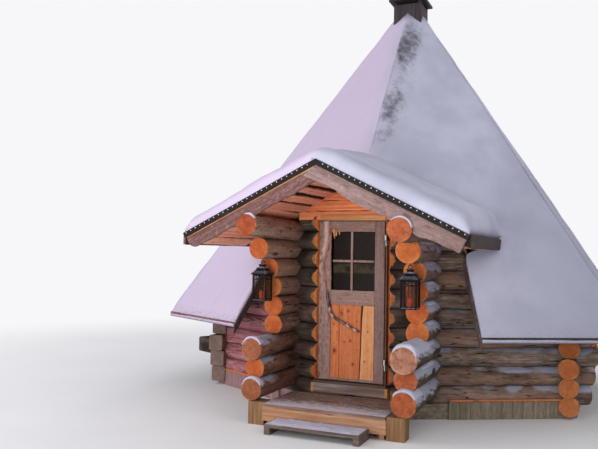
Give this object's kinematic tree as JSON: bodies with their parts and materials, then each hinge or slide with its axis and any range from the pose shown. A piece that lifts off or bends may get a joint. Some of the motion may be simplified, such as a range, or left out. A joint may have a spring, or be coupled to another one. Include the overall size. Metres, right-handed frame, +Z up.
{
  "type": "hexagonal log cabin with a gabled porch",
  "caption": "Hexagonal cabin of round notched logs under a steep pyramid roof, with a gabled log porch, a boarded door with a window, hanging lanterns and a smoke hood.",
  "frame": {"origin": "on the ground, under the middle of the whole plan from the rear eave to the front step", "axes": "+Z up, +Y towards the rear, -Y out of the porch and its door, +X to the right of someone who faces the door"},
  "size_m": [5.848, 6.9959, 5.505],
  "materials": {
    "log_wood": "weathered round logs with warmer end grain",
    "board_wood": "sawn boards, stained warm brown",
    "weathered_wood": "grey weathered boards",
    "roof_boards": "boards under dark roofing felt",
    "roofing_felt": "matt black roofing felt",
    "black_metal": "matt black paint",
    "lantern_glass": "clear, slightly dusty",
    "window_glass": "clear, dark room behind",
    "snow": "settled snow",
    "candle_wax": "red wax"
  },
  "bodies": {
    "cabin": {"sill_beams": "board_wood", "right_wall": "log_wood", "left_wall": "log_wood", "right_rear_wall": "log_wood", "left_rear_wall": "log_wood", "right_front_wall": "log_wood", "left_front_wall": "log_wood", "right_wing": "log_wood", "left_wing": "log_wood", "floor": "board_wood", "right_front_roof": "roof_boards", "right_roof": "roof_boards", "right_rear_roof": "roof_boards", "left_rear_roof": "roof_boards", "left_roof": "roof_boards", "left_front_roof": "roof_boards", "eave_boards": "weathered_wood", "verge_boards": "weathered_wood", "smoke_hood": "weathered_wood", "hood_cap": "black_metal", "right_porch_roof": "roof_boards", "left_porch_roof": "roof_boards", "bargeboards": "weathered_wood", "porch_felt_edge": "roofing_felt", "porch_snow": "snow", "door_gable": "board_wood", "door_head_board": "board_wood", "door_frame": "weathered_wood", "threshold": "weathered_wood", "drip_strip": "weathered_wood", "porch_posts": "weathered_wood", "deck_frame": "board_wood", "deck_planks": "board_wood", "front_step": "weathered_wood", "right_lantern": "black_metal", "left_lantern": "black_metal", "lantern_panes": "lantern_glass", "lantern_candles": "candle_wax", "hinge_straps": "black_metal"},
    "door": {"door_leaf": "weathered_wood", "door_boards": "board_wood", "door_window_bars": "weathered_wood", "door_glass": "window_glass", "branch_handle": "log_wood", "hinge_knuckles": "black_metal"}
  },
  "joints": [
    {"name": "door_hinge", "type": "hinge", "parent": "cabin", "child": "door", "pos_m": [0.402, -2.3502, 0.595], "axis": [0, 0, 1], "range_deg": [0, 100]}
  ]
}
